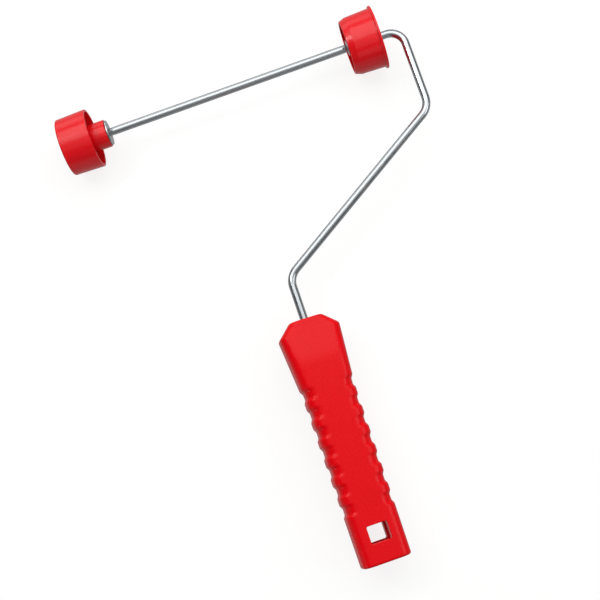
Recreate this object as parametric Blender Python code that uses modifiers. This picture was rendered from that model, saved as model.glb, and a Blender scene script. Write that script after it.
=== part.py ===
# Paint roller frame for 250 mm sleeves: a bent steel wire, two end caps that turn on its axle, and a handle.
# The tool lies flat. In the drawing frame the axle runs along X through the origin, with +X towards the bend,
# and the handle points along -Y. One empty carries every piece, and puts the origin at the bottom centre.

import math

import bmesh
import bpy
from mathutils import Matrix

# Sizes in metres.
GAP = 0.0003                     # clearance between pieces that touch
CAP_SPAN = 0.250                 # outer face of the far cap to outer face of the near cap

WIRE_RADIUS = 0.003
UPRIGHT_REACH = 0.01685          # near cap's outer face to the upright, along X
UPRIGHT_DROP = 0.0635            # axle to the elbow's corner, along Y
DIAGONAL_DROP = 0.0862           # elbow's corner to the tang's corner, along Y
TANG_OFFSET = 0.0042             # tang and handle from the middle of the cap span, along X
TANG_FREE = 0.0338               # tang's corner to the top of the handle
TANG_DEPTH = 0.075               # tang inside the handle
AXLE_BEND = 0.0116               # bend radii, on the centre line
ELBOW_BEND = 0.0145
TANG_BEND = 0.0137
EAR_REACH = 0.0012               # crimped ears, out from the wire
EAR_LENGTH = 0.003
EAR_THICKNESS = 0.0024
TANG_EAR_INSET = 0.012           # tang's end to the middle of its ears

BUSH_WALL = 0.0037
WASHER_THICKNESS = 0.001
WASHER_INSET = 0.001             # hub's edge to the washer's edge, on the far cap
NEAR_WASHER_RADIUS = 0.0058      # small washer inside the near cap's open tip

CORE_RADIUS = 0.0225             # both caps where the sleeve's core grips them
CAP_WALL = 0.0018
CAP_WEB = 0.002
RIB_THICKNESS = 0.0014
RIB_RECESS = 0.009               # cap's open rim to its ribs
RIB_COUNT = 4
NEAR_LENGTH = 0.0254
NEAR_LIP = 0.0015                # flange past the sleeve's core
NEAR_LIP_THICKNESS = 0.0018
NEAR_DRAFT = 0.0007
NEAR_CHAMFER = 0.0017
NEAR_CHAMFER_LENGTH = 0.0049
NEAR_HUB_INSET = 0.0015          # open tip to the end of the hub
FAR_LENGTH = 0.0236
FAR_DRAFT = 0.0007
FAR_EDGE_ROUND = 0.0012
FAR_HUB_REACH = 0.01065          # open rim to the end of the hub, outside the cap
FAR_POCKET_DEPTH = 0.009         # pocket for the push nut, in the far cap's outer face
NEAR_POCKET_DEPTH = 0.005        # pocket for the outer washer and ears, in the near cap's outer face
POCKET_LEDGE = 0.0017            # pocket's floor around the hub's bore
POCKET_WALL = 0.0015

NUT_RING = 0.0032
NUT_SHEET = 0.0005
NUT_DISH = 0.0007
WIRE_PAST_NUT = 0.0012
PLUG_THICKNESS = 0.0015
PLUG_SKIRT_WALL = 0.001
PLUG_SKIRT_DEPTH = 0.003

HANDLE_LENGTH = 0.181
HANDLE_ROLL = math.radians(11)   # handle turned on its tang, left edge up
HEAD_WIDTH = 0.0252
HEAD_THINNING = 0.006            # head thinner than the grip, at the top
HEAD_SLOPE = 0.029               # length over which the head thickens
SHOULDER_WIDTH = 0.0458
SHOULDER_DROP = 0.0095
WAIST_WIDTH = 0.0379
WAIST_DROP = 0.056
END_WIDTH = 0.0361
GRIP_TAPER = 0.0012              # grip thicker than the end
HEAD_CORNER = 0.004              # width of the rounded side strip, at the head
SIDE_CORNER = 0.0095             # and along the grip
SIDE_FLAT = 0.008                # height of the flat between the two strips of a side
HEAD_EDGE = 0.001
SHOULDER_EDGE = 0.002
SHOULDER_CUT = 0.0007
END_EDGE = 0.0018
GROOVE_FIRST = 0.0532            # top of the handle to the middle of the first groove
GROOVE_PITCH = 0.01433
GROOVE_CLEAR = 0.010             # least distance from a groove's middle to the hang hole
GROOVE_WIDTH = 0.0096
GROOVE_FLOOR = 0.0036
GROOVE_DEPTH = 0.0013
SOCKET_MOUTH_RADIUS = 0.0105     # tapered socket for an extension pole
SOCKET_FLOOR_RADIUS = 0.0098
SOCKET_CHAMFER = 0.0005
SOCKET_WALL = 0.0029
BULKHEAD = 0.018                 # solid between the tang's bore and the socket
HOLE_WIDTH = 0.0152
HOLE_HEIGHT = 0.0126
HOLE_CORNER = 0.0012
HOLE_FROM_END = 0.0212           # end of the handle to the middle of the hang hole

ROUND_STEPS = 48
MERGE = 0.00001

# Places and sizes that follow from those, all in the drawing frame.
bush_bore = WIRE_RADIUS + GAP
bush_radius = bush_bore + BUSH_WALL
hub_bore = bush_radius + GAP
pocket_radius = hub_bore + POCKET_LEDGE
hub_radius = pocket_radius + POCKET_WALL
washer_radius = hub_radius - WASHER_INSET
pocket_washer_radius = pocket_radius - GAP
washer_step = GAP + WASHER_THICKNESS + GAP
ear_span = 2 * (WIRE_RADIUS + EAR_REACH)
nut_height = NUT_SHEET + NUT_DISH
lip_radius = CORE_RADIUS + NEAR_LIP

near_face = CAP_SPAN / 2
near_hub_end = near_face - NEAR_LENGTH + NEAR_HUB_INSET
far_face = -CAP_SPAN / 2
far_hub_end = far_face + FAR_LENGTH + FAR_HUB_REACH
far_pocket_floor = far_face + FAR_POCKET_DEPTH
near_pocket_floor = near_face - NEAR_POCKET_DEPTH
wire_end = far_pocket_floor - washer_step - nut_height - WIRE_PAST_NUT
upright_x = near_face + UPRIGHT_REACH
handle_top = UPRIGHT_DROP + DIAGONAL_DROP + TANG_FREE
tang_end = handle_top + TANG_DEPTH

end_thickness = 2 * (SOCKET_MOUTH_RADIUS + SOCKET_WALL)
grip_thickness = end_thickness + GRIP_TAPER
socket_depth = HANDLE_LENGTH - TANG_DEPTH - BULKHEAD
hole_middle = HANDLE_LENGTH - HOLE_FROM_END
groove_run = hole_middle - HOLE_HEIGHT / 2 - GROOVE_CLEAR - GROOVE_FIRST
groove_count = int(groove_run / GROOVE_PITCH) + 1


def linear(hex_colour):
    # Blender's colours are linear, and hex colours are sRGB.
    channels = [int(hex_colour[i:i + 2], 16) / 255 for i in (1, 3, 5)]
    return [c / 12.92 if c <= 0.04045 else ((c + 0.055) / 1.055) ** 2.4 for c in channels]


def make_material(name, hex_colour, roughness, metallic):
    material = bpy.data.materials.new(name)
    material.use_nodes = True
    shader = material.node_tree.nodes["Principled BSDF"]
    shader.inputs["Base Color"].default_value = (*linear(hex_colour), 1.0)
    shader.inputs["Roughness"].default_value = roughness
    shader.inputs["Metallic"].default_value = metallic
    return material


def add_object(name, mesh, collection, location=(0, 0, 0), rotation=(0, 0, 0), parent=None):
    obj = bpy.data.objects.new(name, mesh)
    collection.objects.link(obj)
    obj.parent = parent
    obj.location = location
    obj.rotation_euler = rotation
    return obj


def evaluated_mesh(obj):
    # The object's mesh with its modifiers or its curve's bevel made real.
    graph = bpy.context.evaluated_depsgraph_get()
    return bpy.data.meshes.new_from_object(obj.evaluated_get(graph))


def shade_round(mesh):
    mesh.shade_smooth()
    mesh.set_sharp_from_angle(angle=math.radians(32))


def turn_profile(name, profile, collection, location, rotation, parent, closed=True):
    # Turns (radius, height) points about the local Z axis. They run down the outer side and up the inner one.
    mesh = bpy.data.meshes.new(name)
    count = len(profile)
    edges = [(i, (i + 1) % count) for i in range(count if closed else count - 1)]
    mesh.from_pydata([(radius, 0.0, height) for radius, height in profile], edges, [])
    obj = add_object(name, mesh, collection, location, rotation, parent)
    screw = obj.modifiers.new("turn", "SCREW")
    screw.axis = "Z"
    screw.steps = ROUND_STEPS
    screw.render_steps = ROUND_STEPS
    screw.use_merge_vertices = True
    screw.merge_threshold = MERGE
    turned = evaluated_mesh(obj)
    obj.modifiers.clear()
    obj.data = turned
    shade_round(turned)
    return obj


def turn_on_axle(name, profile, x):
    # A turned piece on the axle: its local Z is the axle, towards the bend.
    return turn_profile(name, profile, parts, (x, 0, 0), (0, math.pi / 2, 0), root)


def turn_in_cap(name, profile, cap, height, closed=True):
    # A turned piece that is fixed in a cap and turns with it.
    return turn_profile(name, profile, parts, (0, 0, height), (0, 0, 0), cap, closed)


def ring_profile(inner, outer, low, high):
    return [(outer, high), (outer, low), (inner, low), (inner, high)]


def add_box(bm, size, matrix):
    scale = Matrix.Diagonal((*size, 1.0))
    return bmesh.ops.create_cube(bm, size=1.0, matrix=matrix @ scale)["verts"]


def mesh_from(bm, name):
    mesh = bpy.data.meshes.new(name)
    bm.to_mesh(mesh)
    bm.free()
    return mesh


def add_tool(name, mesh, location=(0, 0, 0), rotation=(0, 0, 0), parent=None):
    tool = add_object(name, mesh, tools, location, rotation, parent)
    hide_tool(tool)
    return tool


def hide_tool(tool):
    tool.hide_render = True
    tool.display_type = "WIRE"


def combine(obj, tool, operation):
    step = obj.modifiers.new(tool.name, "BOOLEAN")
    step.operation = operation
    step.solver = "EXACT"
    step.object = tool


def bent_path(corners, radii, steps=8):
    # A flat line through the corners, with an arc of the given radius at each inner one.
    path = [corners[0]]
    for before, corner, after, radius in zip(corners, corners[1:], corners[2:], radii):
        back = (before[0] - corner[0], before[1] - corner[1])
        ahead = (after[0] - corner[0], after[1] - corner[1])
        back_angle = math.atan2(back[1], back[0])
        ahead_angle = math.atan2(ahead[1], ahead[0])
        opening = (ahead_angle - back_angle + math.pi) % (2 * math.pi) - math.pi
        middle = back_angle + opening / 2
        reach = radius / math.sin(abs(opening) / 2)
        centre = (corner[0] + reach * math.cos(middle), corner[1] + reach * math.sin(middle))
        turn = math.copysign(math.pi - abs(opening), opening)
        for k in range(steps + 1):
            angle = middle + math.pi + turn * (0.5 - k / steps)
            path.append((centre[0] + radius * math.cos(angle), centre[1] + radius * math.sin(angle)))
    path.append(corners[-1])
    return path


def make_frame_wire():
    corners = [
        (wire_end, 0.0),
        (upright_x, 0.0),
        (upright_x, -UPRIGHT_DROP),
        (TANG_OFFSET, -UPRIGHT_DROP - DIAGONAL_DROP),
        (TANG_OFFSET, -tang_end),
    ]
    path = bent_path(corners, [AXLE_BEND, ELBOW_BEND, TANG_BEND])
    curve = bpy.data.curves.new("wire_line", "CURVE")
    curve.dimensions = "3D"
    curve.bevel_depth = WIRE_RADIUS
    curve.bevel_resolution = 6
    curve.use_fill_caps = True
    spline = curve.splines.new("POLY")
    spline.points.add(len(path) - 1)
    for point, (x, y) in zip(spline.points, path):
        point.co = (x, y, 0.0, 1.0)
    line = add_object("wire_line", curve, tools, parent=root)
    mesh = evaluated_mesh(line)
    bpy.data.objects.remove(line)
    bm = bmesh.new()
    bm.from_mesh(mesh)
    bmesh.ops.remove_doubles(bm, verts=bm.verts, dist=MERGE)
    bm.to_mesh(mesh)
    bm.free()
    shade_round(mesh)
    wire = add_object("frame_wire", mesh, parts, parent=root)
    combine(wire, make_ears(), "UNION")
    return wire


def make_ears():
    # Pairs of ears pinched out of the wire hold the washers, and one pair keeps the tang from turning.
    bm = bmesh.new()
    axle_ears = [
        far_hub_end + washer_step + EAR_LENGTH / 2,
        near_hub_end - washer_step - EAR_LENGTH / 2,
        near_pocket_floor + washer_step + EAR_LENGTH / 2,
    ]
    for x in axle_ears:
        add_box(bm, (EAR_LENGTH, EAR_THICKNESS, ear_span), Matrix.Translation((x, 0, 0)))
    tang_place = Matrix.Translation((TANG_OFFSET, -tang_end + TANG_EAR_INSET, 0))
    tang_turn = Matrix.Rotation(HANDLE_ROLL, 4, "Y")
    add_box(bm, (ear_span, EAR_LENGTH, EAR_THICKNESS), tang_place @ tang_turn)
    bmesh.ops.bevel(bm, geom=bm.edges[:], offset=EAR_REACH / 2, segments=1, affect="EDGES")
    return add_tool("wire_ears", mesh_from(bm, "wire_ears"), parent=root)


def add_ribs(cap, web_side, rib_end, wall_radius):
    # Radial plates between hub and wall, sunk a little into both and into the web.
    sink = CAP_WALL / 3
    inner = hub_radius - sink
    outer = wall_radius + 2 * sink
    height = abs(rib_end - web_side) + sink
    middle = (rib_end + web_side - math.copysign(sink, rib_end - web_side)) / 2
    bm = bmesh.new()
    for k in range(RIB_COUNT):
        turn = Matrix.Rotation(math.tau * (k + 0.5) / RIB_COUNT, 4, "Z")
        place = Matrix.Translation(((inner + outer) / 2, 0, middle))
        add_box(bm, (outer - inner, RIB_THICKNESS, height), turn @ place)
    name = cap.name + "_ribs"
    ribs = add_tool(name, mesh_from(bm, name), cap.location, cap.rotation_euler, root)
    combine(cap, ribs, "UNION")


def make_near_cap():
    # Heights are measured from the flange's outer face, and fall towards the open tip.
    tip = -NEAR_LENGTH
    hub_end = tip + NEAR_HUB_INSET
    shoulder = CORE_RADIUS - NEAR_DRAFT
    tip_radius = shoulder - NEAR_CHAMFER
    profile = [
        (hub_bore, -NEAR_POCKET_DEPTH),
        (pocket_radius, -NEAR_POCKET_DEPTH),
        (pocket_radius, 0.0),
        (lip_radius, 0.0),
        (lip_radius, -NEAR_LIP_THICKNESS),
        (CORE_RADIUS, -NEAR_LIP_THICKNESS),
        (shoulder, tip + NEAR_CHAMFER_LENGTH),
        (tip_radius, tip),
        (tip_radius - CAP_WALL, tip),
        (shoulder - CAP_WALL, tip + NEAR_CHAMFER_LENGTH),
        (CORE_RADIUS - CAP_WALL, -CAP_WEB),
        (hub_radius, -CAP_WEB),
        (hub_radius, hub_end),
        (hub_bore, hub_end),
    ]
    cap = turn_on_axle("near_cap", profile, near_face)
    add_ribs(cap, -CAP_WEB, tip + RIB_RECESS, shoulder - CAP_WALL)
    return cap


def make_far_cap():
    # Heights are measured from the outer face, and rise towards the open rim and the hub's end.
    hub_end = FAR_LENGTH + FAR_HUB_REACH
    face_radius = CORE_RADIUS - FAR_DRAFT
    edge = []
    for k in range(4):
        angle = math.radians(30 * k)
        radius = face_radius - FAR_EDGE_ROUND * (1 - math.cos(angle))
        edge.append((radius, FAR_EDGE_ROUND * (1 - math.sin(angle))))
    profile = [
        (hub_bore, hub_end),
        (hub_radius, hub_end),
        (hub_radius, CAP_WEB),
        (face_radius - CAP_WALL, CAP_WEB),
        (CORE_RADIUS - CAP_WALL, FAR_LENGTH),
        (CORE_RADIUS, FAR_LENGTH),
        *edge,
        (pocket_radius, 0.0),
        (pocket_radius, FAR_POCKET_DEPTH),
        (hub_bore, FAR_POCKET_DEPTH),
    ]
    cap = turn_on_axle("far_cap", profile, far_face)
    add_ribs(cap, CAP_WEB, FAR_LENGTH - RIB_RECESS, face_radius - CAP_WALL)
    return cap


def make_bush(name, cap, low, high):
    # A plain bush between two heights in its cap's hub.
    profile = ring_profile(bush_bore, bush_radius, 0.0, high - low - 2 * GAP)
    return turn_in_cap(name, profile, cap, low + GAP)


def make_washer(name, low, radius):
    profile = ring_profile(bush_bore, radius, 0.0, WASHER_THICKNESS)
    return turn_on_axle(name, profile, low)


def make_push_nut():
    # A dished ring: its inner edge bites the wire and leans outwards, away from the washer.
    nut_radius = bush_bore + NUT_RING
    profile = [
        (nut_radius, 0.0),
        (nut_radius, -NUT_SHEET),
        (bush_bore, -nut_height),
        (bush_bore, -NUT_DISH),
    ]
    return turn_on_axle("axle_push_nut", profile, far_pocket_floor - washer_step)


def make_plug(cap):
    # A disc flush with the far cap's face, with a thin skirt that grips the pocket.
    radius = pocket_radius - GAP
    bore = radius - PLUG_SKIRT_WALL
    skirt_end = PLUG_THICKNESS + PLUG_SKIRT_DEPTH
    profile = [
        (0.0, PLUG_THICKNESS),
        (bore, PLUG_THICKNESS),
        (bore, skirt_end),
        (radius, skirt_end),
        (radius, 0.0),
        (0.0, 0.0),
    ]
    return turn_in_cap("far_cap_plug", profile, cap, 0.0, closed=False)


def along(stations, place):
    # The value at a place, on straight lines between (place, value) stations.
    for (start, first), (end, last) in zip(stations, stations[1:]):
        if place <= end:
            return first + (last - first) * (place - start) / (end - start)
    return stations[-1][1]


def grip_section(place, inset, groove):
    # One closed section of the handle: a flat front and back, joined by rounded sides that carry the grooves.
    outline = [
        (0.0, HEAD_WIDTH / 2),
        (SHOULDER_DROP, SHOULDER_WIDTH / 2),
        (WAIST_DROP, WAIST_WIDTH / 2),
        (HANDLE_LENGTH, END_WIDTH / 2),
    ]
    depth = [
        (0.0, (grip_thickness - HEAD_THINNING) / 2),
        (HEAD_SLOPE, grip_thickness / 2),
        (HANDLE_LENGTH, end_thickness / 2),
    ]
    half_width = along(outline, place) - inset
    half_depth = along(depth, place) - inset
    corner = along([(0.0, HEAD_CORNER), (HEAD_SLOPE, SIDE_CORNER)], place) - inset / 2
    rise = half_depth - SIDE_FLAT / 2
    steps = 5
    quarter = []
    for k in range(steps + 1):
        angle = math.pi / 2 * k / steps
        x = half_width - corner + corner * math.cos(angle) - groove * math.cos(angle)
        quarter.append((x, half_depth - rise + rise * math.sin(angle)))
    front = quarter + [(-x, z) for x, z in reversed(quarter)]
    back = [(x, -z) for x, z in reversed(front)]
    return [(x, -place, z) for x, z in front + back]


def handle_stations():
    # (place, inset, groove depth) down the handle: rounded ends, shoulder and grooves.
    steps = 3
    stations = []
    for k in range(steps + 1):
        angle = math.pi / 2 * (1 - k / steps)
        stations.append((HEAD_EDGE * (1 - math.sin(angle)), HEAD_EDGE * (1 - math.cos(angle)), 0.0))
    stations.append((SHOULDER_DROP - SHOULDER_EDGE, 0.0, 0.0))
    stations.append((SHOULDER_DROP, SHOULDER_CUT, 0.0))
    stations.append((SHOULDER_DROP + SHOULDER_EDGE, 0.0, 0.0))
    stations.append((HEAD_SLOPE, 0.0, 0.0))
    for k in range(groove_count):
        middle = GROOVE_FIRST + k * GROOVE_PITCH
        stations.append((middle - GROOVE_WIDTH / 2, 0.0, 0.0))
        stations.append((middle - GROOVE_FLOOR / 2, 0.0, GROOVE_DEPTH))
        stations.append((middle + GROOVE_FLOOR / 2, 0.0, GROOVE_DEPTH))
        stations.append((middle + GROOVE_WIDTH / 2, 0.0, 0.0))
    for k in range(steps + 1):
        angle = math.pi / 2 * k / steps
        end = HANDLE_LENGTH - END_EDGE * (1 - math.sin(angle))
        stations.append((end, END_EDGE * (1 - math.cos(angle)), 0.0))
    return stations


def make_handle():
    bm = bmesh.new()
    rings = [[bm.verts.new(point) for point in grip_section(*station)] for station in handle_stations()]
    count = len(rings[0])
    for upper, lower in zip(rings, rings[1:]):
        for i in range(count):
            j = (i + 1) % count
            bm.faces.new((upper[i], upper[j], lower[j], lower[i]))
    bm.faces.new(rings[0])
    bm.faces.new(rings[-1])
    bmesh.ops.recalc_face_normals(bm, faces=bm.faces)
    mesh = mesh_from(bm, "handle")
    shade_round(mesh)
    place = (TANG_OFFSET, -handle_top, 0)
    handle = add_object("handle", mesh, parts, place, (0, HANDLE_ROLL, 0), root)
    for tool in (make_tang_bore(handle), make_ear_pocket(handle), make_socket(handle), make_hang_hole(handle)):
        combine(handle, tool, "DIFFERENCE")
    return handle


def make_tang_bore(handle):
    bore_end = TANG_DEPTH + GAP
    length = bore_end + HEAD_EDGE
    bm = bmesh.new()
    bmesh.ops.create_cone(
        bm,
        cap_ends=True,
        segments=ROUND_STEPS // 2,
        radius1=WIRE_RADIUS + GAP,
        radius2=WIRE_RADIUS + GAP,
        depth=length,
    )
    place = (0, HEAD_EDGE - length / 2, 0)
    return add_tool("tang_bore", mesh_from(bm, "tang_bore"), place, (math.pi / 2, 0, 0), handle)


def make_ear_pocket(handle):
    size = (ear_span + 2 * GAP, EAR_LENGTH + 2 * GAP, EAR_THICKNESS + 2 * GAP)
    bm = bmesh.new()
    add_box(bm, size, Matrix.Translation((0, -TANG_DEPTH + TANG_EAR_INSET, 0)))
    return add_tool("ear_pocket", mesh_from(bm, "ear_pocket"), parent=handle)


def make_socket(handle):
    # The tool's local Z leaves through the mouth, and its zero is the handle's end face.
    profile = [
        (0.0, SOCKET_CHAMFER),
        (SOCKET_MOUTH_RADIUS + 2 * SOCKET_CHAMFER, SOCKET_CHAMFER),
        (SOCKET_MOUTH_RADIUS, -SOCKET_CHAMFER),
        (SOCKET_FLOOR_RADIUS, -socket_depth),
        (0.0, -socket_depth),
    ]
    place = (0, -HANDLE_LENGTH, 0)
    tool = turn_profile("pole_socket", profile, tools, place, (math.pi / 2, 0, 0), handle, closed=False)
    hide_tool(tool)
    return tool


def make_hang_hole(handle):
    bm = bmesh.new()
    place = Matrix.Translation((0, -hole_middle, 0))
    add_box(bm, (HOLE_WIDTH, HOLE_HEIGHT, 2 * grip_thickness), place)
    upright = [edge for edge in bm.edges if abs(edge.verts[0].co.z - edge.verts[1].co.z) > grip_thickness]
    bmesh.ops.bevel(bm, geom=upright, offset=HOLE_CORNER, segments=4, profile=0.5, affect="EDGES")
    return add_tool("hang_hole", mesh_from(bm, "hang_hole"), parent=handle)


for old in list(bpy.data.objects):
    bpy.data.objects.remove(old)

parts = bpy.data.collections.new("paint_roller_frame")
tools = bpy.data.collections.new("cutting_tools")
bpy.context.scene.collection.children.link(parts)
bpy.context.scene.collection.children.link(tools)

# The empty moves the drawing frame so that the bottom centre of the whole tool is the world's origin.
left = far_face
right = upright_x + WIRE_RADIUS
front = -handle_top - HANDLE_LENGTH
back = lip_radius
root = bpy.data.objects.new("drawing_frame", None)
parts.objects.link(root)
root.location = (-(left + right) / 2, -(front + back) / 2, lip_radius)

near_cap = make_near_cap()
far_cap = make_far_cap()
pieces = {
    "steel": [
        make_frame_wire(),
        make_washer("near_inner_washer", near_hub_end - GAP - WASHER_THICKNESS, NEAR_WASHER_RADIUS),
        make_washer("near_outer_washer", near_pocket_floor + GAP, pocket_washer_radius),
        make_washer("far_inner_washer", far_hub_end + GAP, washer_radius),
        make_washer("far_outer_washer", far_pocket_floor - GAP - WASHER_THICKNESS, pocket_washer_radius),
        make_push_nut(),
    ],
    "red": [near_cap, far_cap, make_plug(far_cap), make_handle()],
    "nylon": [
        make_bush("near_bush", near_cap, near_hub_end - near_face, -NEAR_POCKET_DEPTH),
        make_bush("far_bush", far_cap, FAR_POCKET_DEPTH, far_hub_end - far_face),
    ],
}
finishes = {
    "steel": ("#C9CCCE", 0.25, 1.0),
    "red": ("#D9101A", 0.35, 0.0),
    "nylon": ("#E6E3DA", 0.45, 0.0),
}
for family, members in pieces.items():
    for piece in members:
        piece.data.materials.append(make_material(piece.name, *finishes[family]))
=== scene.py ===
# Looks of a paint roller frame: a plated wire, two end caps that turn on its axle, and a ribbed handle.
# Lengths are in metres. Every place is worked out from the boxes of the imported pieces.

import math

import bmesh
import bpy
import numpy as np
from mathutils import Matrix, Vector


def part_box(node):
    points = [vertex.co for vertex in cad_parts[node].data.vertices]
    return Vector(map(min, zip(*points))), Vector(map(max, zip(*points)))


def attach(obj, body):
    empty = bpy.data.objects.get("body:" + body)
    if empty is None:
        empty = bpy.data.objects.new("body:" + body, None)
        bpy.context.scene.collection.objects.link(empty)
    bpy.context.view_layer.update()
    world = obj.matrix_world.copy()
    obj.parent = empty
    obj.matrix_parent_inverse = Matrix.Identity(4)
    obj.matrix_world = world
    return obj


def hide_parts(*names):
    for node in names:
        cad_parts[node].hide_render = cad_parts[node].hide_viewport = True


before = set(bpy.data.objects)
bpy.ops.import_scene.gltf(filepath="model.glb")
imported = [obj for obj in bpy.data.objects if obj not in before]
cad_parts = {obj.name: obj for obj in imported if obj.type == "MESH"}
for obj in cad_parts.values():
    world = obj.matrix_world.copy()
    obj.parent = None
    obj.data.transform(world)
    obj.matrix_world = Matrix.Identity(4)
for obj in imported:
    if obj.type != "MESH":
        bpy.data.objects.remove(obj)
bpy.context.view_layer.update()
print("frame loaded")

gap = 0.0003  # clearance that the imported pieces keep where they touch
tangRoll = math.radians(11)  # the handle and the tang's ears are turned on the tang, left edge up
mergeDistance = 1e-7
sharpAngle = math.radians(32)  # edges steeper than this stay crisp


def halfWidth(node):
    low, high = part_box(node)
    return (high.y - low.y) / 2


farCapLow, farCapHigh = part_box("far_cap")
nearCapLow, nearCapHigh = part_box("near_cap")
handleLow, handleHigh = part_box("handle")
wireLow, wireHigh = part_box("frame_wire")

axleY = (farCapLow.y + farCapHigh.y) / 2
axleZ = (farCapLow.z + farCapHigh.z) / 2
capMiddleX = (farCapLow.x + nearCapHigh.x) / 2
tangX = (handleLow.x + handleHigh.x) / 2
handleTop = handleHigh.y
handleLength = handleHigh.y - handleLow.y

bushRadius = halfWidth("near_bush")
hubBore = bushRadius + gap
washerRadius = halfWidth("far_inner_washer")
coreRadius = halfWidth("far_cap")
lipRadius = halfWidth("near_cap")


def roundCorners(corners, radii, steps=6, hold=0.0):
    # An arc at each corner. With unit vectors a back and b ahead and the angle w between them, the arc
    # starts and ends r / tan(w/2) from the corner, and its centre lies r / sin(w/2) along a + b. Its points
    # turn from one end's spoke to the other's. A point at distance hold beyond each end keeps flats flat.
    corner = np.array(corners, float)
    radius = np.broadcast_to(radii, len(corner))[:, None]
    back = np.roll(corner, 1, 0) - corner
    ahead = np.roll(corner, -1, 0) - corner
    back /= np.linalg.norm(back, axis=1, keepdims=True)
    ahead /= np.linalg.norm(ahead, axis=1, keepdims=True)
    half = np.arccos(np.clip((back * ahead).sum(1, keepdims=True), -1, 1)) / 2
    middle = (back + ahead) / np.linalg.norm(back + ahead, axis=1, keepdims=True)
    centre = (corner + middle * radius / np.sin(half))[:, None]
    start = (corner + back * radius / np.tan(half))[:, None]
    end = (corner + ahead * radius / np.tan(half))[:, None]
    swing = (math.pi - 2 * half)[:, None]
    share = np.linspace(0, 1, steps + 1)[None, :, None]
    spokes = (start - centre) * np.sin((1 - share) * swing) + (end - centre) * np.sin(share * swing)
    arc = centre + spokes / np.sin(swing)
    line = np.concatenate([start + back[:, None] * hold, arc, end + ahead[:, None] * hold], axis=1)
    return line.reshape(-1, 2)


def surfaceMesh(name, grids, closeRows=False, rowPlace=None, columnPlace=None):
    # Quads between neighbouring points of each grid[row, column]. Columns run round and close. The places
    # of rows and columns, where given, are the surface's UV map.
    mesh = bpy.data.meshes.new(name)
    points = np.concatenate([grid.reshape(-1, 3) for grid in grids])
    quads, places, used = [], [], 0
    for grid in grids:
        rows, columns = grid.shape[:2]
        steps = rows if closeRows else rows - 1
        row, column = np.meshgrid(np.arange(steps), np.arange(columns), indexing="ij")
        cornerRow = np.stack([row, row, row + 1, row + 1], -1).reshape(-1, 4)
        cornerColumn = np.stack([column, column + 1, column + 1, column], -1).reshape(-1, 4)
        quads.append(used + (cornerRow % rows) * columns + cornerColumn % columns)
        places.append(np.stack([cornerRow, cornerColumn], -1).reshape(-1, 2))
        used += rows * columns
    quads = np.concatenate(quads)
    mesh.vertices.add(len(points))
    mesh.vertices.foreach_set("co", points.astype(np.float32).reshape(-1))
    mesh.loops.add(quads.size)
    mesh.loops.foreach_set("vertex_index", quads.astype(np.int32).reshape(-1))
    mesh.polygons.add(len(quads))
    mesh.polygons.foreach_set("loop_start", np.arange(0, quads.size, 4, dtype=np.int32))
    mesh.update(calc_edges=True)
    if rowPlace is not None:
        place = np.concatenate(places)
        uv = np.stack([rowPlace[place[:, 0]], columnPlace[place[:, 1]]], -1)
        layer = mesh.uv_layers.new(name="along_and_round")
        layer.data.foreach_set("uv", uv.astype(np.float32).reshape(-1))
    closeMesh(mesh)
    return mesh


def closeMesh(mesh):
    # Merges collapsed rows into poles, and turns every face outwards.
    bm = bmesh.new()
    bm.from_mesh(mesh)
    bmesh.ops.remove_doubles(bm, verts=bm.verts, dist=mergeDistance)
    bmesh.ops.recalc_face_normals(bm, faces=bm.faces)
    bm.to_mesh(mesh)
    bm.free()
    mesh.shade_smooth()
    mesh.set_sharp_from_angle(angle=sharpAngle)


def newObject(name, mesh):
    piece = bpy.data.objects.new(name, mesh)
    bpy.context.scene.collection.objects.link(piece)
    return piece


def cutOrJoin(piece, tool, operation):
    step = piece.modifiers.new("tool", "BOOLEAN")
    step.operation = operation
    step.solver = "EXACT"
    step.object = tool
    graph = bpy.context.evaluated_depsgraph_get()
    mesh = bpy.data.meshes.new_from_object(piece.evaluated_get(graph))
    piece.modifiers.clear()
    piece.data = mesh
    mesh.set_sharp_from_angle(angle=sharpAngle)
    bpy.data.objects.remove(tool)


def standFor(piece, node, body, material):
    piece.data.materials.clear()
    piece.data.materials.append(material)
    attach(piece, body)
    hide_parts(node)


def turned(name, profile, startX, closed=True, columns=160):
    # A profile of (along, radius) points carried round the axle: y = radius cos turn, z = radius sin turn.
    turn = np.linspace(0, 2 * math.pi, columns, endpoint=False)
    along = profile[:, 0, None] + np.zeros(columns)
    radius = profile[:, 1, None]
    grid = np.stack([startX + along, axleY + radius * np.cos(turn), axleZ + radius * np.sin(turn)], -1)
    return newObject(name, surfaceMesh(name, [grid], closeRows=closed))


def linearColour(hexColour):
    srgb = np.array([int(hexColour[i:i + 2], 16) for i in (1, 3, 5)]) / 255
    linear = np.where(srgb <= 0.04045, srgb / 12.92, ((srgb + 0.055) / 1.055) ** 2.4)
    return (*linear.tolist(), 1.0)


def addNode(tree, kind, settings={}, values={}, links={}):
    newNode = tree.nodes.new(kind)
    for name, setting in settings.items():
        setattr(newNode, name, setting)
    for socket, value in values.items():
        newNode.inputs[socket].default_value = value
    for socket, source in links.items():
        tree.links.new(source, newNode.inputs[socket])
    return newNode


def startMaterial(name, constants):
    material = bpy.data.materials.new(name)
    material.use_nodes = True
    shader = material.node_tree.nodes["Principled BSDF"]
    for socket, value in constants.items():
        shader.inputs[socket].default_value = value
    return material, material.node_tree, shader


def mixColours(*hexColours):
    # inputs 6 and 7 of a colour mix are its two colours
    return {i: linearColour(h) for i, h in zip((6, 7), hexColours)}


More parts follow.
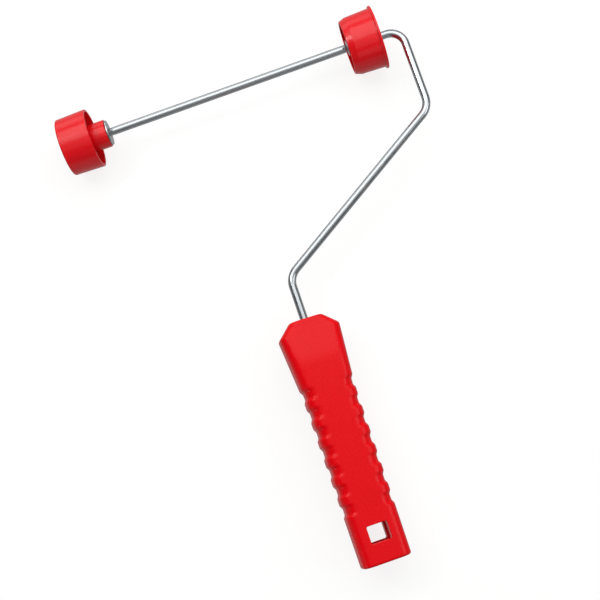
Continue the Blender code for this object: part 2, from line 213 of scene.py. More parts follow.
# Polypropylene, injection moulded in a spark-eroded cavity: satin, evenly coloured right through, with a
# fine orange-peel grain, faint clouds where the melt cooled at different speeds, and light scuffs of use.
satinSkin = {
    "deepRed": "#E6000C", "lightRed": "#EE0212", "scuffRed": "#EE161E",
    "cloud": 0.035, "grain": 0.0009, "roughness": (0.24, 0.31),
    "scuffWidth": 0.0015, "scuffLength": 0.0125,
}


def mouldedSatinPolypropylene():
    material, tree, shader = startMaterial("moulded_satin_polypropylene", {
        "IOR": 1.49, "Specular IOR Level": 0.18})
    place = addNode(tree, "ShaderNodeTexCoord").outputs["Object"]
    cloud = addNode(tree, "ShaderNodeTexNoise",
                    values={"Scale": 1 / satinSkin["cloud"], "Detail": 2.0}, links={"Vector": place})
    # real grain is about 0.15 mm wide; it is drawn six times as coarse so that it shows
    grain = addNode(tree, "ShaderNodeTexNoise",
                    values={"Scale": 1 / satinSkin["grain"], "Detail": 3.0, "Roughness": 0.6},
                    links={"Vector": place})
    across, along = 1 / satinSkin["scuffWidth"], 1 / satinSkin["scuffLength"]
    drawn = addNode(tree, "ShaderNodeMapping", values={"Scale": (across, along, across)},
                    links={"Vector": place})
    scuff = addNode(tree, "ShaderNodeTexNoise", values={"Scale": 1.0, "Detail": 4.0},
                    links={"Vector": drawn.outputs[0]})
    scuffed = addNode(tree, "ShaderNodeMapRange",
                      values={"From Min": 0.62, "From Max": 0.78, "To Min": 0.0, "To Max": 0.35},
                      links={"Value": scuff.outputs[0]})
    body = addNode(tree, "ShaderNodeMix", {"data_type": "RGBA"},
                   mixColours(satinSkin["deepRed"], satinSkin["lightRed"]), {0: cloud.outputs[0]})
    worn = addNode(tree, "ShaderNodeMix", {"data_type": "RGBA"},
                   {7: linearColour(satinSkin["scuffRed"])}, {0: scuffed.outputs[0], 6: body.outputs[2]})
    low, high = satinSkin["roughness"]
    gloss = addNode(tree, "ShaderNodeMapRange",
                    values={"From Min": 0.3, "From Max": 0.7, "To Min": low, "To Max": high},
                    links={"Value": grain.outputs[0]})
    skin = addNode(tree, "ShaderNodeBump", values={"Strength": 0.25, "Distance": 0.00004},
                   links={"Height": grain.outputs[0]})
    tree.links.new(worn.outputs[2], shader.inputs["Base Color"])
    tree.links.new(gloss.outputs[0], shader.inputs["Roughness"])
    tree.links.new(skin.outputs[0], shader.inputs["Normal"])
    return material


# Polypropylene moulded in turned and polished cavities: glossier than the handle, with the faint rings
# that the lathe left in the mould and soft flow clouds along the wall.
glossSkin = {
    "deepRed": "#E60A16", "lightRed": "#EC0C1A", "cloud": 0.012, "ring": 0.0012,
    "grain": 0.0025, "roughness": (0.2, 0.27),
}


def mouldedGlossPolypropylene():
    material, tree, shader = startMaterial("moulded_gloss_polypropylene", {
        "IOR": 1.49, "Specular IOR Level": 0.45})
    place = addNode(tree, "ShaderNodeTexCoord").outputs["Object"]
    cloud = addNode(tree, "ShaderNodeTexNoise",
                    values={"Scale": 1 / glossSkin["cloud"], "Detail": 3.0}, links={"Vector": place})
    body = addNode(tree, "ShaderNodeMix", {"data_type": "RGBA"},
                   mixColours(glossSkin["deepRed"], glossSkin["lightRed"]), {0: cloud.outputs[0]})
    # a wave's bands are 0.314 / scale apart
    rings = addNode(tree, "ShaderNodeTexWave", {"bands_direction": "X"},
                    {"Scale": 0.314 / glossSkin["ring"], "Distortion": 1.5, "Detail": 2.0}, {"Vector": place})
    grain = addNode(tree, "ShaderNodeTexNoise",
                    values={"Scale": 1 / glossSkin["grain"], "Detail": 2.0}, links={"Vector": place})
    low, high = glossSkin["roughness"]
    gloss = addNode(tree, "ShaderNodeMapRange",
                    values={"From Min": 0.3, "From Max": 0.7, "To Min": low, "To Max": high},
                    links={"Value": grain.outputs[0]})
    ringed = addNode(tree, "ShaderNodeBump", values={"Strength": 0.15, "Distance": 0.00002},
                     links={"Height": rings.outputs["Fac"]})
    skin = addNode(tree, "ShaderNodeBump", values={"Strength": 0.2, "Distance": 0.00004},
                   links={"Height": grain.outputs[0], "Normal": ringed.outputs[0]})
    tree.links.new(body.outputs[2], shader.inputs["Base Color"])
    tree.links.new(gloss.outputs[0], shader.inputs["Roughness"])
    tree.links.new(skin.outputs[0], shader.inputs["Normal"])
    return material


# Steel wire, cold drawn and then bright zinc plated: a blue-white mirror, with the die's hairlines running
# along it and patches where the plating is a little duller.
platedWire = {
    "blueZinc": "#AFB5BA", "greyZinc": "#BCC0C2", "hairline": 0.0004, "run": 0.03,
    "patch": 0.007, "roughness": (0.19, 0.26),
}


def zincPlatedDrawnWire():
    material, tree, shader = startMaterial("zinc_plated_drawn_wire", {"Metallic": 1.0})
    place = addNode(tree, "ShaderNodeTexCoord").outputs["Object"]
    follow = addNode(tree, "ShaderNodeUVMap", {"uv_map": "along_and_round"}).outputs[0]
    patch = addNode(tree, "ShaderNodeTexNoise",
                    values={"Scale": 1 / platedWire["patch"], "Detail": 3.0}, links={"Vector": place})
    stretched = addNode(tree, "ShaderNodeMapping",
                        values={"Scale": (1 / platedWire["run"], 1 / platedWire["hairline"], 1.0)},
                        links={"Vector": follow})
    # real die lines are a few hundredths of a millimetre apart; these are 0.4 mm so that they show
    hairlines = addNode(tree, "ShaderNodeTexNoise", values={"Scale": 1.0, "Detail": 3.0},
                        links={"Vector": stretched.outputs[0]})
    body = addNode(tree, "ShaderNodeMix", {"data_type": "RGBA"},
                   mixColours(platedWire["blueZinc"], platedWire["greyZinc"]), {0: patch.outputs[0]})
    low, high = platedWire["roughness"]
    gloss = addNode(tree, "ShaderNodeMapRange",
                    values={"From Min": 0.35, "From Max": 0.65, "To Min": low, "To Max": high},
                    links={"Value": patch.outputs[0]})
    drawn = addNode(tree, "ShaderNodeBump", values={"Strength": 0.03, "Distance": 0.00002},
                    links={"Height": hairlines.outputs[0]})
    tree.links.new(body.outputs[2], shader.inputs["Base Color"])
    tree.links.new(gloss.outputs[0], shader.inputs["Roughness"])
    tree.links.new(drawn.outputs[0], shader.inputs["Normal"])
    return material


# Strip steel, stamped and barrel plated with zinc: brighter edges, and flats dulled by tumbling.
platedStrip = {"blueZinc": "#CDD1D3", "greyZinc": "#B9BCBD", "dent": 0.0011, "roughness": (0.24, 0.38)}


def zincPlatedStampedSteel():
    material, tree, shader = startMaterial("zinc_plated_stamped_steel", {"Metallic": 1.0})
    place = addNode(tree, "ShaderNodeTexCoord").outputs["Object"]
    dents = addNode(tree, "ShaderNodeTexVoronoi", {"feature": "SMOOTH_F1"},
                    {"Scale": 1 / platedStrip["dent"]}, {"Vector": place})
    clouds = addNode(tree, "ShaderNodeTexNoise",
                     values={"Scale": 0.3 / platedStrip["dent"], "Detail": 4.0}, links={"Vector": place})
    body = addNode(tree, "ShaderNodeMix", {"data_type": "RGBA"},
                   mixColours(platedStrip["blueZinc"], platedStrip["greyZinc"]), {0: clouds.outputs[0]})
    low, high = platedStrip["roughness"]
    gloss = addNode(tree, "ShaderNodeMapRange",
                    values={"From Min": 0.3, "From Max": 0.7, "To Min": low, "To Max": high},
                    links={"Value": clouds.outputs[0]})
    tumbled = addNode(tree, "ShaderNodeBump", values={"Strength": 0.2, "Distance": 0.00003},
                      links={"Height": dents.outputs["Distance"]})
    tree.links.new(body.outputs[2], shader.inputs["Base Color"])
    tree.links.new(gloss.outputs[0], shader.inputs["Roughness"])
    tree.links.new(tumbled.outputs[0], shader.inputs["Normal"])
    return material


# Spring steel, hardened and oiled: blue-grey scale with brown clouds from the tempering oven.
temperedSheet = {"blueScale": "#4B5158", "brownScale": "#5E554C", "cloud": 0.0015}


def temperedSpringSteel():
    material, tree, shader = startMaterial("tempered_spring_steel", {"Metallic": 1.0, "Roughness": 0.38})
    place = addNode(tree, "ShaderNodeTexCoord").outputs["Object"]
    clouds = addNode(tree, "ShaderNodeTexNoise",
                     values={"Scale": 1 / temperedSheet["cloud"], "Detail": 4.0}, links={"Vector": place})
    body = addNode(tree, "ShaderNodeMix", {"data_type": "RGBA"},
                   mixColours(temperedSheet["blueScale"], temperedSheet["brownScale"]),
                   {0: clouds.outputs[0]})
    scale = addNode(tree, "ShaderNodeBump", values={"Strength": 0.3, "Distance": 0.00002},
                    links={"Height": clouds.outputs[0]})
    tree.links.new(body.outputs[2], shader.inputs["Base Color"])
    tree.links.new(scale.outputs[0], shader.inputs["Normal"])
    return material


# Natural nylon, injection moulded: milky off-white that lets a little light in, with a fine dull grain.
milkyBush = {"white": "#E9E5D8", "cream": "#DED8C6", "cloud": 0.003, "grain": 0.0005}


def mouldedNaturalNylon():
    material, tree, shader = startMaterial("moulded_natural_nylon", {
        "IOR": 1.53, "Roughness": 0.42, "Subsurface Weight": 0.25, "Subsurface Scale": 0.001})
    place = addNode(tree, "ShaderNodeTexCoord").outputs["Object"]
    clouds = addNode(tree, "ShaderNodeTexNoise",
                     values={"Scale": 1 / milkyBush["cloud"], "Detail": 2.0}, links={"Vector": place})
    grain = addNode(tree, "ShaderNodeTexNoise",
                    values={"Scale": 1 / milkyBush["grain"], "Detail": 2.0}, links={"Vector": place})
    body = addNode(tree, "ShaderNodeMix", {"data_type": "RGBA"},
                   mixColours(milkyBush["white"], milkyBush["cream"]), {0: clouds.outputs[0]})
    skin = addNode(tree, "ShaderNodeBump", values={"Strength": 0.25, "Distance": 0.00003},
                   links={"Height": grain.outputs[0]})
    tree.links.new(body.outputs[2], shader.inputs["Base Color"])
    tree.links.new(skin.outputs[0], shader.inputs["Normal"])
    return material


handleSkin = mouldedSatinPolypropylene()
capSkin = mouldedGlossPolypropylene()
wireSkin = zincPlatedDrawnWire()
washerSkin = zincPlatedStampedSteel()
nutSkin = temperedSpringSteel()
bushSkin = mouldedNaturalNylon()
print("materials made")


wire = {
    "radius": 0.003,
    "uprightDrop": 0.0635, "diagonalDrop": 0.0862,  # axle to elbow, elbow to tang, along y
    "bends": (0.0116, 0.0145, 0.0137),  # radii of the wire's middle line, from the axle to the tang
    "earReach": 0.0009, "earLength": 0.0028, "earSpread": 0.3, "pinch": 0.0001,
    "tangEarInset": 0.012, "cutEdge": 0.0004,
    "rowStep": 0.0005, "directionStep": 0.0002, "columns": 40,
}


def earBump(place, middle):
    # One at an ear, nothing away from it: a difference of two soft steps a length apart.
    soft = wire["earLength"] / 6
    rise = np.tanh((place - middle + wire["earLength"] / 2) / soft)
    fall = np.tanh((place - middle - wire["earLength"] / 2) / soft)
    return (rise - fall) / 2


def makeFrameWire():
    # A circle carried along the bent line: point = line + r (n cos t + z sin t), with n square to the line.
    # At each pair of ears r grows towards the ears' angle and shrinks a little beside them.
    uprightX = wireHigh.x - wire["radius"]
    elbowY = axleY - wire["uprightDrop"]
    corners = [
        (wireLow.x, axleY),
        (uprightX, axleY),
        (uprightX, elbowY),
        (tangX, elbowY - wire["diagonalDrop"]),
        (tangX, wireLow.y),
    ]
    line = roundCorners(corners, (0, *wire["bends"], 0), steps=40)
    travel = np.concatenate([[0], np.cumsum(np.linalg.norm(np.diff(line, axis=0), axis=1))])
    length = travel[-1]
    cut = wire["cutEdge"]
    even = np.linspace(cut, length - cut, int(length / wire["rowStep"]))
    place = np.concatenate([[0, 0], even, [length, length]])
    endSize = 1 - cut / wire["radius"]  # the wire's cut ends are slightly broken
    size = np.concatenate([[0, endSize], np.ones(len(even)), [endSize, 0]])
    x = np.interp(place, travel, line[:, 0])
    y = np.interp(place, travel, line[:, 1])
    step = wire["directionStep"]
    alongX = np.interp(place + step, travel, line[:, 0]) - np.interp(place - step, travel, line[:, 0])
    alongY = np.interp(place + step, travel, line[:, 1]) - np.interp(place - step, travel, line[:, 1])
    alongX, alongY = np.array([alongX, alongY]) / np.hypot(alongX, alongY)
    turn = np.linspace(0, 2 * math.pi, wire["columns"] + 1)
    axleEars = [
        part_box("far_inner_washer")[1].x + gap + wire["earLength"] / 2,
        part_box("near_inner_washer")[0].x - gap - wire["earLength"] / 2,
        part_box("near_outer_washer")[1].x + gap + wire["earLength"] / 2,
    ]
    ears = [(earX - wireLow.x, math.pi / 2) for earX in axleEars]
    ears.append((length - wire["tangEarInset"], tangRoll))
    radius = np.full((len(place), wire["columns"]), wire["radius"])
    for middle, earTurn in ears:
        away = np.abs(np.sin(turn[None, :-1] - earTurn))
        shape = wire["earReach"] * np.exp(-(away / wire["earSpread"]) ** 2) - wire["pinch"] * away ** 4
        radius += earBump(place, middle)[:, None] * shape
    radius *= size[:, None]
    side = radius * np.cos(turn[None, :-1])
    grid = np.stack([
        x[:, None] - alongY[:, None] * side,
        y[:, None] + alongX[:, None] * side,
        axleZ + radius * np.sin(turn[None, :-1]),
    ], -1)
    return newObject("bent_wire", surfaceMesh(
        "bent_wire", [grid], rowPlace=place, columnPlace=turn * wire["radius"]))


standFor(makeFrameWire(), "frame_wire", "frame", wireSkin)
print("wire bent")


grip = {
    "headWidth": 0.0252, "shoulderWidth": 0.0458, "shoulderDrop": 0.0095,
    "waistWidth": 0.0379, "waistDrop": 0.056, "endWidth": 0.0361,
    "headDepth": 0.022, "gripDepth": 0.028, "endDepth": 0.0268, "headSlope": 0.029,
    "headCorner": 0.008, "sideCorner": 0.0095, "sideFlat": 0.008,
    "shoulderBlend": 0.0024, "slopeBlend": 0.010, "waistBlend": 0.012,
    "headEdge": 0.0011, "endEdge": 0.0018,
    "grooveFirst": 0.0532, "groovePitch": 0.01433, "grooves": 7,
    "grooveWidth": 0.0094, "grooveFloor": 0.0044, "grooveDepth": 0.0014, "grooveBlend": 0.0005,
    "grooveCarve": 1.2,
    "squareness": 2.5,  # of the superelliptic side strips; 2 is a plain ellipse
    "partingHeight": 0.00008, "partingWidth": 0.00025,
    "boreRadius": 0.0033, "boreDepth": 0.0753, "boreEdge": 0.0004, "earRoom": 0.0012,
    "socketMouth": 0.0105, "socketFloor": 0.0098, "socketDepth": 0.088, "mouthChamfer": 0.0005,
    "holeWidth": 0.0152, "holeHeight": 0.0126, "holeCorner": 0.0012, "holeFromEnd": 0.0212,
    "holeRim": 0.0005, "holeFlare": math.radians(72), "holeBeyond": 0.002, "rowStep": 0.0005,
}


def blended(place, stations, blend):
    # Straight lines between (place, value) stations, averaged over a stretch of the given length.
    where, value = np.array(stations).T
    offsets = np.linspace(-blend / 2, blend / 2, 25)
    return np.interp(place[:, None] + offsets, where, value).mean(1)


def grooveDepths(place):
    # Shallow scallops, evenly spaced: straight walls between land and floor, softened where they meet.
    middles = grip["grooveFirst"] + grip["groovePitch"] * np.arange(grip["grooves"])
    offsets = np.linspace(-grip["grooveBlend"], grip["grooveBlend"], 15)
    away = np.abs(place[:, None, None] + offsets - middles[:, None]).min(1)
    wall = (grip["grooveWidth"] - grip["grooveFloor"]) / 2
    return grip["grooveDepth"] * np.clip((grip["grooveWidth"] / 2 - away) / wall, 0, 1).mean(1)


def sectionTemplate():
    # Weights of one ring, with x = a (half width - corner) + b corner and z = c side flat / 2 + d rise.
    # Strips are quarter superellipses, b = cos t ^ 2/n and d = sin t ^ 2/n. Front, back and sides are flat.
    turn = np.linspace(0, math.pi / 2, 21)
    power = 2 / grip["squareness"]
    across = np.array([0.97, 0.8, 0.6, 0.4, 0.2, 0.0])
    side = np.array([0.0, 0.03, 0.06, 0.12, 0.5, 0.95])  # closest together at the parting ridge
    quarter = np.concatenate([
        np.stack([np.ones_like(side), np.ones_like(side), side, np.zeros_like(side)]),
        np.stack([np.ones_like(turn), np.abs(np.cos(turn)) ** power,
                  np.ones_like(turn), np.sin(turn) ** power]),
        np.stack([across, np.zeros_like(across), np.ones_like(across), np.ones_like(across)]),
    ], axis=1)
    mirrorX = quarter[:, -2::-1] * np.array([-1, -1, 1, 1])[:, None]
    top = np.concatenate([quarter, mirrorX], axis=1)
    mirrorZ = top[:, -2:0:-1] * np.array([1, 1, -1, -1])[:, None]
    return np.concatenate([top, mirrorZ], axis=1)


def handleRings(place, inset):
    # The ring's weights times widths, depths and corners, each read off straight lines along the handle and
    # blended, then drawn in by the inset. Grooves cut into the corners, and the parting ridge stands out.
    a, b, c, d = sectionTemplate()
    outline = [
        (0.0, grip["headWidth"] / 2),
        (grip["shoulderDrop"], grip["shoulderWidth"] / 2),
        (grip["waistDrop"], grip["waistWidth"] / 2),
        (handleLength, grip["endWidth"] / 2),
    ]
    # the shoulder is blended tightly and the waist gently
    sharpWidth = blended(place, outline, grip["shoulderBlend"])
    softWidth = blended(place, outline, grip["waistBlend"])
    share = np.clip((place - grip["headSlope"]) / grip["waistBlend"], 0, 1)
    halfWide = np.where(place > handleLength - grip["waistBlend"], sharpWidth,
                        sharpWidth + (softWidth - sharpWidth) * share) - inset
    depths = [
        (0.0, grip["headDepth"] / 2),
        (grip["headSlope"], grip["gripDepth"] / 2),
        (handleLength, grip["endDepth"] / 2),
    ]
    halfDeep = blended(place, depths, grip["slopeBlend"]) - inset
    cornerLine = [(0.0, grip["headCorner"]), (grip["headSlope"], grip["sideCorner"])]
    corner = blended(place, cornerLine, grip["slopeBlend"]) - inset / 2
    rise = halfDeep - grip["sideFlat"] / 2
    groove = grooveDepths(place)
    x = a * (halfWide - corner)[:, None] + b * (corner - groove)[:, None]
    carve = grip["grooveCarve"] * groove[:, None] * np.abs(b)  # scooped deepest half way round the corner
    z = c * grip["sideFlat"] / 2 + d * (rise[:, None] - carve)
    ridge = grip["partingHeight"] * np.exp(-(z / grip["partingWidth"]) ** 2) * (np.abs(b) == 1)
    return np.stack([x + np.sign(b) * ridge, np.broadcast_to(-place[:, None], x.shape), z], -1)


def roundRings(outer, place, radius):
    # Circles whose points stand at the same bearings as the points of the outer ring.
    bearing = np.arctan2(outer[:, 2], outer[:, 0])
    return np.stack([
        radius[:, None] * np.cos(bearing),
        np.broadcast_to(-place[:, None], (len(place), len(bearing))),
        radius[:, None] * np.sin(bearing),
    ], -1)


def makeHandle():
    # One surface from the bottom of the tang's bore, out over the head, down the grip and into the socket.
    quarter = np.linspace(0, math.pi / 2, 7)
    headEdge, endEdge = grip["headEdge"], grip["endEdge"]
    even = np.linspace(headEdge, handleLength - endEdge, int(handleLength / grip["rowStep"]))
    place = np.concatenate([
        headEdge * (1 - np.cos(quarter[:-1])),
        even,
        handleLength - endEdge * (1 - np.sin(quarter[1:])),
    ])
    inset = np.concatenate([
        headEdge * (1 - np.sin(quarter[:-1])),
        np.zeros(len(even)),
        endEdge * (1 - np.cos(quarter[1:])),
    ])
    skin = handleRings(place, inset)
    boreEnd = grip["boreDepth"]
    bore, edge = grip["boreRadius"], grip["boreEdge"]
    borePlace = np.concatenate([[boreEnd, boreEnd], np.linspace(boreEnd - edge, edge, 120), [0.0]])
    boreRadius = np.full(len(borePlace), bore)
    boreRadius += grip["earRoom"] * earBump(borePlace, boreEnd - gap - wire["tangEarInset"])
    boreRadius[[0, 1, -1]] = 0.0, bore - edge, bore + edge
    mouth, floor = grip["socketMouth"], grip["socketFloor"]
    chamfer, depth = grip["mouthChamfer"], grip["socketDepth"]
    inward = np.concatenate([[0, chamfer], np.linspace(chamfer * 2, depth, 60), [depth, depth]])
    socketPlace = handleLength - inward
    socketRadius = np.concatenate([
        [mouth + chamfer, mouth], np.linspace(mouth, floor, 60), [floor - chamfer, 0]])
    grid = np.concatenate([
        roundRings(skin[0], borePlace, boreRadius),
        skin,
        roundRings(skin[-1], socketPlace, socketRadius),
    ])
    handle = newObject("ribbed_handle", surfaceMesh("ribbed_handle", [grid]))
    cutOrJoin(handle, holeTool(), "DIFFERENCE")
    turn = Matrix.Rotation(tangRoll, 4, "Y")
    handle.data.transform(Matrix.Translation((tangX, handleTop, axleZ)) @ turn)
    return handle


def holeTool():
    # The hang hole's outline carried through the handle, flaring to a rounded rim at front and back.
    rim, flare, beyond = grip["holeRim"], grip["holeFlare"], grip["holeBeyond"]
    places = (grip["headSlope"], handleLength)
    depths = (grip["gripDepth"] / 2, grip["endDepth"] / 2)
    faceDepth = np.interp(handleLength - grip["holeFromEnd"], places, depths)
    angle = np.linspace(0, flare, 7)
    rise = faceDepth - rim + rim * np.sin(angle)
    grow = rim * (1 - np.cos(angle))
    height = np.concatenate([rise, [rise[-1] + beyond, rise[-1] + beyond]])
    spread = np.concatenate([grow, [grow[-1] + beyond * math.tan(flare)] * 2])
    height = np.concatenate([-height[::-1], height])
    spread = np.concatenate([spread[::-1], spread])
    size = np.ones(len(height))
    size[[0, -1]] = 0.0
    wide, tall, corner = grip["holeWidth"] / 2, grip["holeHeight"] / 2, grip["holeCorner"]
    rectangle = np.array([(-1, -1), (1, -1), (1, 1), (-1, 1)])
    plain = roundCorners(rectangle * (wide, tall), corner)
    grown = roundCorners(rectangle * (wide + rim, tall + rim), corner + rim)
    outline = plain + (grown - plain) * (spread / rim)[:, None, None]
    outline = outline * size[:, None, None]
    middleY = -(handleLength - grip["holeFromEnd"])
    grid = np.stack([
        outline[..., 0],
        middleY + outline[..., 1],
        np.broadcast_to(height[:, None], outline.shape[:2]),
    ], -1)
    return newObject("hole_tool", surfaceMesh("hole_tool", [grid]))


standFor(makeHandle(), "handle", "frame", handleSkin)
print("handle moulded")


cap = {
    "wall": 0.0018, "web": 0.002, "hold": 0.00012,
    "edge": 0.0003, "bluntEdge": 0.0005, "rootFillet": 0.0006, "chamferBow": 0.0012,  # corner radii
    "ribs": 4, "ribThickness": 0.0014, "ribRecess": 0.009, "ribSink": 0.0006,
    "hubWall": 0.001,  # hub past the washer's edge
    "lipThickness": 0.0018, "nearDraft": 0.0007, "chamfer": 0.0017, "chamferLength": 0.0049,
    "farLength": 0.0236, "farDraft": 0.0007, "farRound": 0.0012,
    "plugSheet": 0.0015, "plugSkirt": 0.001,
    "gateRadius": 0.0014, "gateFloor": 0.0011, "gateDepth": 0.0003, "gateEdge": 0.0001,
}
hubRadius = washerRadius + cap["hubWall"]
pocketRadius = halfWidth("far_cap_plug") + gap


def ribPlates(name, webX, endX, wallRadius):
    # Each rib is a rounded outline of (thickness, height) carried outwards from the hub to the wall.
    sink = cap["ribSink"]
    low, high = sorted((webX - math.copysign(sink, endX - webX), endX))
    half = cap["ribThickness"] / 2
    corners = [(-half, low), (half, low), (half, high), (-half, high)]
    outline = roundCorners(corners, cap["edge"], steps=4)
    reach = np.array([hubRadius - sink, hubRadius - sink, wallRadius + 2 * sink, wallRadius + 2 * sink])
    size = np.array([0, 1, 1, 0])[:, None]
    across = outline[:, 0] * size
    along = (outline[:, 1] - (low + high) / 2) * size + (low + high) / 2
    grids = []
    for k in range(cap["ribs"]):
        turn = 2 * math.pi * (k + 0.5) / cap["ribs"]
        y = reach[:, None] * math.cos(turn) - across * math.sin(turn)
        z = reach[:, None] * math.sin(turn) + across * math.cos(turn)
        grids.append(np.stack([along, axleY + y, axleZ + z], -1))
    return newObject(name, surfaceMesh(name, grids))


def makeNearCap():
    # A closed outline of (along, radius) turned round the axle, with the ribs joined to it. Its places are
    # measured from the flange's outer face.
    face = nearCapHigh.x
    tip = nearCapLow.x - face
    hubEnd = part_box("near_inner_washer")[1].x + gap - face
    shoulder = coreRadius - cap["nearDraft"]
    tipRadius = shoulder - cap["chamfer"]
    lip, wall, web = cap["lipThickness"], cap["wall"], cap["web"]
    edge, blunt, root, bow = cap["edge"], cap["bluntEdge"], cap["rootFillet"], cap["chamferBow"]
    bend = tip + cap["chamferLength"]
    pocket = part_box("near_outer_washer")[0].x - gap - face
    corners = [
        (pocket, hubBore), (pocket, pocketRadius), (0, pocketRadius),
        (0, lipRadius), (-lip, lipRadius), (-lip, coreRadius), (bend, shoulder),
        (tip, tipRadius), (tip, tipRadius - wall), (bend, shoulder - wall), (-web, coreRadius - wall),
        (-web, hubRadius), (hubEnd, hubRadius), (hubEnd, hubBore),
    ]
    radii = [edge, edge, edge, blunt, blunt, edge, bow, blunt, edge, bow, root, root, blunt, edge]
    piece = turned("near_end_cap", roundCorners(corners, radii, hold=cap["hold"]), face)
    ribEnd = nearCapLow.x + cap["ribRecess"]
    cutOrJoin(piece, ribPlates("near_ribs", face - web, ribEnd, shoulder - wall), "UNION")
    return piece


def makeFarCap():
    # A closed outline of (along, radius) turned round the axle, with the ribs joined to it. Its places are
    # measured from the outer face.
    face = farCapLow.x
    hubEnd = farCapHigh.x - face
    rim = cap["farLength"]
    faceRadius = coreRadius - cap["farDraft"]
    wall, web = cap["wall"], cap["web"]
    edge, blunt, root = cap["edge"], cap["bluntEdge"], cap["rootFillet"]
    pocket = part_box("far_outer_washer")[1].x + gap - face
    corners = [
        (hubEnd, hubBore), (hubEnd, hubRadius), (web, hubRadius), (web, faceRadius - wall),
        (rim, coreRadius - wall), (rim, coreRadius), (0, faceRadius), (0, pocketRadius),
        (pocket, pocketRadius), (pocket, hubBore),
    ]
    radii = [edge, blunt, root, root, edge, blunt, cap["farRound"], edge, edge, edge]
    piece = turned("far_end_cap", roundCorners(corners, radii, hold=cap["hold"]), face)
    ribEnd = face + rim - cap["ribRecess"]
    cutOrJoin(piece, ribPlates("far_ribs", face + web, ribEnd, faceRadius - wall), "UNION")
    return piece


def makePlug():
    # A disc with a thin skirt, and the small sunk mark of the gate in its middle.
    low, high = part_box("far_cap_plug")
    radius, depth = halfWidth("far_cap_plug"), high.x - low.x
    sheet, inner = cap["plugSheet"], radius - cap["plugSkirt"]
    gate, floor, sunk = cap["gateRadius"], cap["gateFloor"], cap["gateDepth"]
    corners = [
        (sheet, 0), (sheet, inner), (depth, inner), (depth, radius), (0, radius), (0, gate),
        (sunk, floor), (sunk, 0),
    ]
    edge, blunt, sharp = cap["edge"], cap["bluntEdge"], cap["gateEdge"]
    radii = [0, edge, edge, edge, blunt, 2 * sharp, sharp, 0]
    # the first and last points would join the disc's two middles
    profile = roundCorners(corners, radii, hold=cap["hold"] / 2)[1:-1]
    return turned("plug_disc", profile, low.x, closed=False)


standFor(makeNearCap(), "near_cap", "near_cap", capSkin)
standFor(makeFarCap(), "far_cap", "far_cap", capSkin)
standFor(makePlug(), "far_cap_plug", "far_cap", capSkin)
print("caps moulded")


rings = {
    "bore": wire["radius"] + gap, "bushChamfer": 0.0005, "bushRim": 0.0003,
    "stampedEdge": 0.00025, "shearedEdge": 0.00006, "hold": 0.00005,
    "teeth": 6, "slot": 0.0013, "slotShare": 0.22, "slotWall": 0.066,  # both are shares of half a pitch
    "nutSheet": 0.0005, "nutDish": 0.0007, "nutRound": 0.1,
}


def ringOf(name, node, radii):
    # A rectangle of (along, radius) round the axle, with the four edges rounded as the list says.
    low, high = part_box(node)
    bore, radius, length = rings["bore"], halfWidth(node), high.x - low.x
    corners = [(0, bore), (0, radius), (length, radius), (length, bore)]
    return turned(name, roundCorners(corners, radii, steps=5, hold=rings["hold"]), low.x)


def makePushNut():
    # A dished ring whose inner edge is cut into teeth: with s from 0 at the bore to 1 at the rim, the
    # radius runs from the bore, or from the end of a slot, to the rim, and the sheet rises by the dish.
    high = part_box("axle_push_nut")[1]
    rim = halfWidth("axle_push_nut")
    profile = roundCorners([(0, 0), (1, 0), (1, 1), (0, 1)], rings["nutRound"], steps=3)
    share = np.clip(profile[:, 0], 0, 1)[:, None]
    layer = np.clip(profile[:, 1], 0, 1)[:, None]
    turn = np.linspace(0, 2 * math.pi, 240, endpoint=False)
    phase = np.abs((turn * rings["teeth"] / (2 * math.pi)) % 1 - 0.5) * 2
    slot = rings["slot"] * np.clip((rings["slotShare"] - phase) / rings["slotWall"] + 1, 0, 1)
    inner = rings["bore"] + slot
    radius = inner + (rim - inner) * share
    dish = rings["nutDish"] * (1 - (radius - rings["bore"]) / (rim - rings["bore"]))
    along = high.x - dish - rings["nutSheet"] * layer
    grid = np.stack([along, axleY + radius * np.cos(turn), axleZ + radius * np.sin(turn)], -1)
    return newObject("toothed_push_nut", surfaceMesh("toothed_push_nut", [grid], closeRows=True))


rolled, sheared = rings["stampedEdge"], rings["shearedEdge"]
chamfer, rim = rings["bushChamfer"], rings["bushRim"]
washers = {
    "near_inner_washer": "near_hub_washer", "near_outer_washer": "near_face_washer",
    "far_inner_washer": "far_hub_washer", "far_outer_washer": "far_pocket_washer",
}
for node, name in washers.items():
    washer = ringOf(name, node, [rolled, rolled, sheared, sheared])
    standFor(washer, node, "frame", washerSkin)
for side in ("near", "far"):
    bush = ringOf(side + "_nylon_bush", side + "_bush", [chamfer, rim, rim, chamfer])
    standFor(bush, side + "_bush", side + "_cap", bushSkin)
standFor(makePushNut(), "axle_push_nut", "frame", nutSkin)
print("bushes, washers and push nut made")


studio = {
    "floor": "#7C7C7B", "floorGlow": 0.83, "floorHalf": 20.0,
    "darkSky": 0.12, "brightSky": 0.45, "ground": 0.45, "target": (0, 0, 0.02),
}
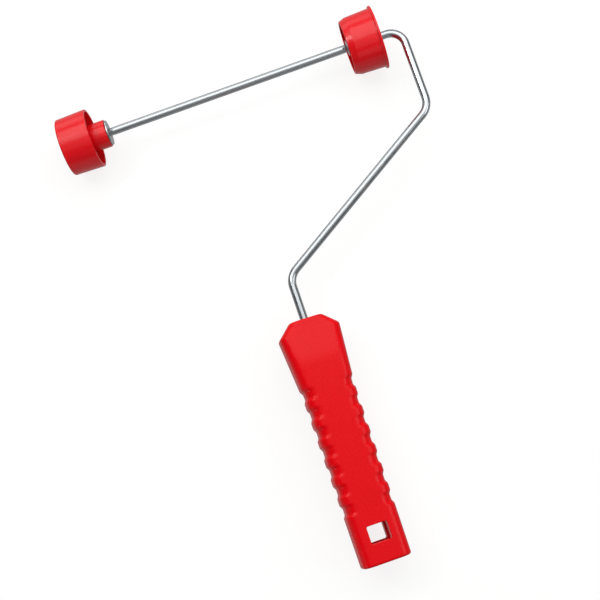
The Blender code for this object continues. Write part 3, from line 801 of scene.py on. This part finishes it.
# Each box: middle, half of its long side, half of its short side, radiance. It faces the studio's target.
softboxes = {
    # soft light from overhead, for the handle's flat front
    "ceiling": ((0.30, -0.27, 1.25), (0.80, 0, 0), (0, 0.37, 0), 0.5),
    # most of the light, from behind and above: the caps' tops and the wire's broad bright line
    "main": ((0.36, 0.58, 1.00), (0.86, 0, 0), (0, 0.43, -0.27), 2.05),
    # the right-hand slopes of the head and of the grooves
    "right": ((1.2, -0.30, 0.90), (0, 0.40, 0), (0.1, 0, -0.3), 2.5),
    # a little fill from the handle's end
    "front": ((0.3, -1.25, 0.90), (0.6, 0, 0), (0, -0.1, -0.3), 0.4),
    # a thin bright line on the far side of wire and caps
    "back_low": ((-0.23, 1.30, 0.27), (0.43, 0, 0), (0, 0.04, 0.26), 1.0),
    # small and strong: the highlights on the caps and the white line on the axle
    "key": ((-0.62, 0.52, 1.00), (0, 0.12, -0.085), (0.11, 0, 0), 11.0),
    # the left side of hub and handle, close to the table
    "low_left": ((-0.71, -0.40, 0.24), (0.05, -0.11, 0), (0, 0, 0.10), 4.0),
}


def makeFloor():
    half = studio["floorHalf"]
    mesh = bpy.data.meshes.new("floor")
    corners = [(-half, -half, 0), (half, -half, 0), (half, half, 0), (-half, half, 0)]
    mesh.from_pydata(corners, [], [(0, 1, 2, 3)])
    floor = newObject("floor", mesh)
    # White acrylic sheet, lit a little from below as on a light table.
    acrylic = startMaterial("lit_white_acrylic", {
        "Base Color": linearColour(studio["floor"]), "Roughness": 0.9, "Specular IOR Level": 0.0,
        "Emission Color": (1, 1, 1, 1), "Emission Strength": studio["floorGlow"]})[0]
    mesh.materials.append(acrylic)
    floor.visible_glossy = False
    floor.visible_diffuse = False


def makeSoftbox(name, middle, longSide, shortSide, radiance):
    # An area light gives radiance = power / (pi area) from its front, which is the side its -z looks to.
    longSide, shortSide, middle = Vector(longSide), Vector(shortSide), Vector(middle)
    front = longSide.cross(shortSide).normalized()
    if front.dot(Vector(studio["target"]) - middle) < 0:
        front.negate()
    light = bpy.data.lights.new(name, "AREA")
    light.shape = "RECTANGLE"
    light.size = 2 * longSide.length
    light.size_y = 2 * shortSide.length
    light.energy = radiance * math.pi * light.size * light.size_y
    box = bpy.data.objects.new(name, light)
    bpy.context.scene.collection.objects.link(box)
    xAxis = longSide.normalized()
    zAxis = -front
    yAxis = zAxis.cross(xAxis)
    box.matrix_world = Matrix.Translation(middle) @ Matrix((xAxis, yAxis, zAxis)).transposed().to_4x4()
    box.visible_camera = False


def makeSky():
    # Dim towards -y and bright towards +y: the soft wall that the top of the object looks at.
    world = bpy.data.worlds.new("studio_walls")
    bpy.context.scene.world = world
    world.use_nodes = True
    tree = world.node_tree
    direction = addNode(tree, "ShaderNodeTexCoord").outputs["Generated"]
    parts = addNode(tree, "ShaderNodeSeparateXYZ", links={0: direction})
    level = addNode(tree, "ShaderNodeMapRange", {"interpolation_type": "SMOOTHSTEP"},
                    {"From Min": 0.2, "From Max": 0.9, "To Min": studio["darkSky"],
                     "To Max": studio["brightSky"]}, {"Value": parts.outputs[1]})
    # below the horizon the pieces see an even grey in place of the table
    ground = addNode(tree, "ShaderNodeMapRange", values={"From Min": -0.05, "From Max": 0.05},
                     links={"Value": parts.outputs[2]})
    both = addNode(tree, "ShaderNodeMix", values={2: studio["ground"]},
                   links={0: ground.outputs[0], 3: level.outputs[0]})
    tree.links.new(both.outputs[0], tree.nodes["Background"].inputs["Color"])


view = {
    "eye": (0.041614, -0.298105, 0.854564), "aim": (0.005837, -0.16828, 0.0),  # from the axle's middle
    "lean": math.radians(18.605), "lens": 71.152, "sensor": 36.0,
}


def makeCamera():
    # Stands over the handle and looks down, a little towards the axle. Its top leans towards the near cap.
    middle = Vector((capMiddleX, axleY, axleZ))
    eye = middle + Vector(view["eye"])
    aim = middle + Vector(view["aim"])
    forward = (aim - eye).normalized()
    right = forward.cross(Vector((math.sin(view["lean"]), math.cos(view["lean"]), 0))).normalized()
    up = right.cross(forward)
    data = bpy.data.cameras.new("camera")
    data.lens = view["lens"]
    data.sensor_width = view["sensor"]
    camera = bpy.data.objects.new("camera", data)
    bpy.context.scene.collection.objects.link(camera)
    camera.matrix_world = Matrix.Translation(eye) @ Matrix((right, up, -forward)).transposed().to_4x4()
    bpy.context.scene.camera = camera


makeFloor()
for name, box in softboxes.items():
    makeSoftbox(name, *box)
makeSky()
makeCamera()
bpy.context.scene.view_settings.view_transform = "Standard"
print("studio set")
